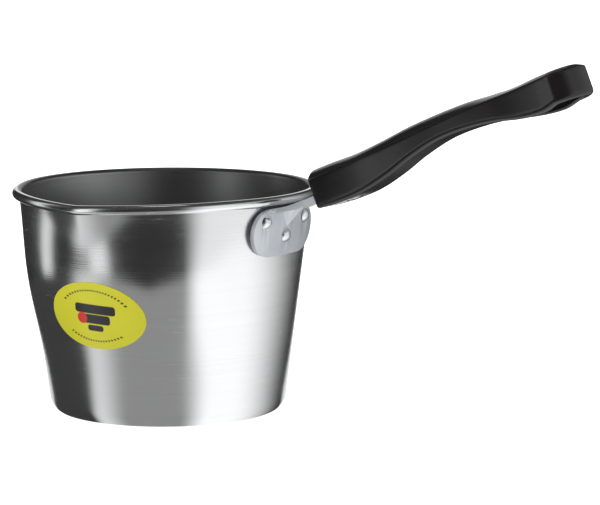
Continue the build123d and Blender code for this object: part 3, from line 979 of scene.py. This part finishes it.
label = label_sheet()
label.data.shade_smooth()
label.data.set_sharp_from_angle(angle=radians(50))
label.data.materials.append(printed_paper())
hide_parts("label_sticker")
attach(label, "root")


# Studio
# A plain pale table top in front of a white background, under soft lamps. Round the table stands
# a dark tent with soft boxes that only the shine of the pieces shows. It lies over the table too, so
# it hides the white floor and background from the metal, but for an opening behind the pan.

camera_heading = radians(53)

floor = show("floor", [(-4, -4, 0), (4, -4, 0), (4, 4, 0), (-4, 4, 0)], [(0, 1, 2, 3)])
floor_material, tree, shader, place = new_material("floor")
shader.inputs["Base Color"].default_value = (0.8, 0.8, 0.8, 1)
shader.inputs["Roughness"].default_value = 0.9
shader.inputs["Specular IOR Level"].default_value = 0.1
shader.inputs["Emission Color"].default_value = (1, 1, 1, 1)


def seen_directly(tree):
    """1 for rays that show the background: straight to the camera, in metal and through glass."""
    path = tree.nodes.new("ShaderNodeLightPath")
    shiny = maths(tree, "MAXIMUM", path.outputs["Is Glossy Ray"], path.outputs["Is Transmission Ray"])
    return maths(tree, "MAXIMUM", path.outputs["Is Camera Ray"], shiny)


def across_floor(tree, place):
    """Distance from the pan's middle over the floor, and the heading there."""
    split = tree.nodes.new("ShaderNodeSeparateXYZ")
    tree.links.new(place, split.inputs[0])
    x, y, _ = split.outputs
    squares = maths(tree, "ADD", maths(tree, "MULTIPLY", x, x), maths(tree, "MULTIPLY", y, y))
    return maths(tree, "SQRT", squares), maths(tree, "ARCTAN2", y, x)


far, _ = across_floor(tree, place)
white = fade(tree, far, 0.15, 0.6, 0.72, 1.0)
tree.links.new(maths(tree, "MULTIPLY", seen_directly(tree), white), shader.inputs["Emission Strength"])
floor.data.materials.append(floor_material)

world = bpy.data.worlds.new("studio")
bpy.context.scene.world = world
world.use_nodes = True
background = world.node_tree.nodes["Background"]
background.inputs["Color"].default_value = (1, 1, 1, 1)
strength = spread(world.node_tree, seen_directly(world.node_tree), 0.40, 1.0)
world.node_tree.links.new(strength, background.inputs["Strength"])


def ringed(profile, count=96):
    """Points and faces of an open surface turned about the Z axis."""
    turns = [2 * pi * k / count for k in range(count)]
    verts = [(r * cos(turn), r * sin(turn), z) for turn in turns for r, z in profile]
    across = len(profile)
    faces = []
    for i in range(count):
        for j in range(across - 1):
            a, b = i * across + j, ((i + 1) % count) * across + j
            faces.append((a, a + 1, b + 1, b))
    return verts, faces


def soft_box(tree, away, rise, fall, glow):
    """A box's light by degrees to the right of the camera: where it rises, where it falls."""
    rising = fade(tree, away, radians(rise[0]), radians(rise[1]))
    falling = fade(tree, away, radians(fall[0]), radians(fall[1]), 1.0, 0.0)
    return maths(tree, "MULTIPLY", maths(tree, "MULTIPLY", rising, falling), glow)


def lit_by(tree, dark, *boxes):
    """The dark cloth of the tent with some boxes in it."""
    light = dark
    for box in boxes:
        light = maths(tree, "ADD", light, box)
    return light


tent_radius = 0.9
tent_foot = 0.03
tent_profile = [(0.052, 0.0015), (0.6, 0.0015), (tent_radius, tent_foot)]
for k in range(1, 12):
    rise = pi / 2 * k / 12
    tent_profile.append((tent_radius * cos(rise), tent_foot + tent_radius * sin(rise)))
tent = show("tent", *ringed(tent_profile))
tent_material = bpy.data.materials.new("tent")
tent_material.use_nodes = True
tree = tent_material.node_tree
tree.nodes.remove(tree.nodes["Principled BSDF"])
glow = tree.nodes.new("ShaderNodeEmission")
tree.links.new(glow.outputs[0], tree.nodes["Material Output"].inputs[0])
place = tree.nodes.new("ShaderNodeTexCoord").outputs["Object"]
far, heading = across_floor(tree, place)
split = tree.nodes.new("ShaderNodeSeparateXYZ")
tree.links.new(place, split.inputs[0])
away = maths(tree, "WRAP", maths(tree, "ADD", heading, camera_heading), pi, -pi)
near_share = maths(tree, "DIVIDE", 0.058, far)
spreading = maths(tree, "DIVIDE", 2.0, maths(tree, "SUBTRACT", 2.0, near_share))
away = maths(tree, "MULTIPLY", away, spreading)
away = maths(tree, "MAXIMUM", maths(tree, "MINIMUM", away, pi * 0.99), -pi * 0.99)
grey_wash = soft_box(tree, away, (-85, -70), (60, 150), 0.26)
right_box = soft_box(tree, away, (10, 42), (66, 160), 0.92)
left_glow = soft_box(tree, away, (-88, -76), (-72, -40), 0.50)
left_box = soft_box(tree, away, (-66, -59), (-51, -43), 1.25)
edge_strip = soft_box(tree, away, (-123, -116), (-108, -101), 0.85)
opening = soft_box(tree, maths(tree, "ABSOLUTE", away), (168, 171), (190, 200), 0.85)
low = lit_by(tree, 0.05, grey_wash, right_box, left_glow, opening)
high = lit_by(tree, 0.03, right_box, left_box, edge_strip, opening)
aside = maths(tree, "ABSOLUTE", maths(tree, "ADD", away, radians(15)))
near_edge = maths(tree, "MULTIPLY", maths(tree, "MINIMUM", aside, 0.7), 0.11)
colour = mixed(tree, fade(tree, maths(tree, "SUBTRACT", far, near_edge), 0.19, 0.24), low, high)
lid = fade(tree, split.outputs[2], 0.35, 0.75)
colour = mixed(tree, lid, colour, (0.06, 0.06, 0.06, 1))
tree.links.new(colour, glow.inputs[0])
tent.data.materials.append(tent_material)
tent.visible_camera = False
tent.visible_diffuse = False
tent.visible_shadow = False


def soft_lamp(name, place, target, width, height, power):
    """A large square lamp that lights matt surfaces and stays out of the reflections."""
    data = bpy.data.lights.new(name, "AREA")
    data.shape = "RECTANGLE"
    data.size, data.size_y, data.energy = width, height, power
    lamp = bpy.data.objects.new(name, data)
    lamp.location = place
    lamp.rotation_euler = (Vector(target) - Vector(place)).to_track_quat("-Z", "Y").to_euler()
    lamp.visible_camera = False
    lamp.visible_glossy = False
    bpy.context.scene.collection.objects.link(lamp)


soft_lamp("key", (0.9, -1.6, 1.5), (0, 0, 0.05), 1.2, 1.2, 22)
soft_lamp("fill", (-1.4, -0.8, 1.2), (0, 0, 0.05), 0.9, 1.4, 10)
soft_lamp("top", (0.1, 0.3, 2.0), (0, 0, 0), 1.6, 1.6, 18)

camera_rise = radians(9.1)
camera_roll = radians(-0.54)
camera_distance = 1426.13 * MM
aim_height = 53.685 * MM
lens_share = 3000.0
picture_width, picture_height = 600, 505
axis_across, axis_down = 167.07, 295.32
turn_across = atan((picture_width / 2 - axis_across) / lens_share)
turn_up = atan((axis_down - picture_height / 2) / lens_share)

level = Vector((cos(camera_heading), -sin(camera_heading), 0))
back = level * cos(camera_rise) + Vector((0, 0, sin(camera_rise)))
stand = Vector((0, 0, aim_height)) + back * camera_distance
right = Vector((sin(camera_heading), cos(camera_heading), 0))
up = back.cross(right)
ahead = right * sin(turn_across) - back * cos(turn_across)
right = right * cos(turn_across) + back * sin(turn_across)
ahead, up = ahead * cos(turn_up) + up * sin(turn_up), up * cos(turn_up) - ahead * sin(turn_up)
right, up = right * cos(camera_roll) + up * sin(camera_roll), up * cos(camera_roll) - right * sin(camera_roll)
camera = bpy.data.objects.new("camera", bpy.data.cameras.new("camera"))
camera.data.sensor_width = 36
camera.data.lens = camera.data.sensor_width * lens_share / picture_width
camera.data.clip_start = 0.01
camera.data.clip_end = 50
camera.matrix_world = Matrix.Translation(stand) @ Matrix((right, up, -ahead)).transposed().to_4x4()
bpy.context.scene.collection.objects.link(camera)
bpy.context.scene.camera = camera
bpy.context.scene.view_settings.view_transform = "Standard"
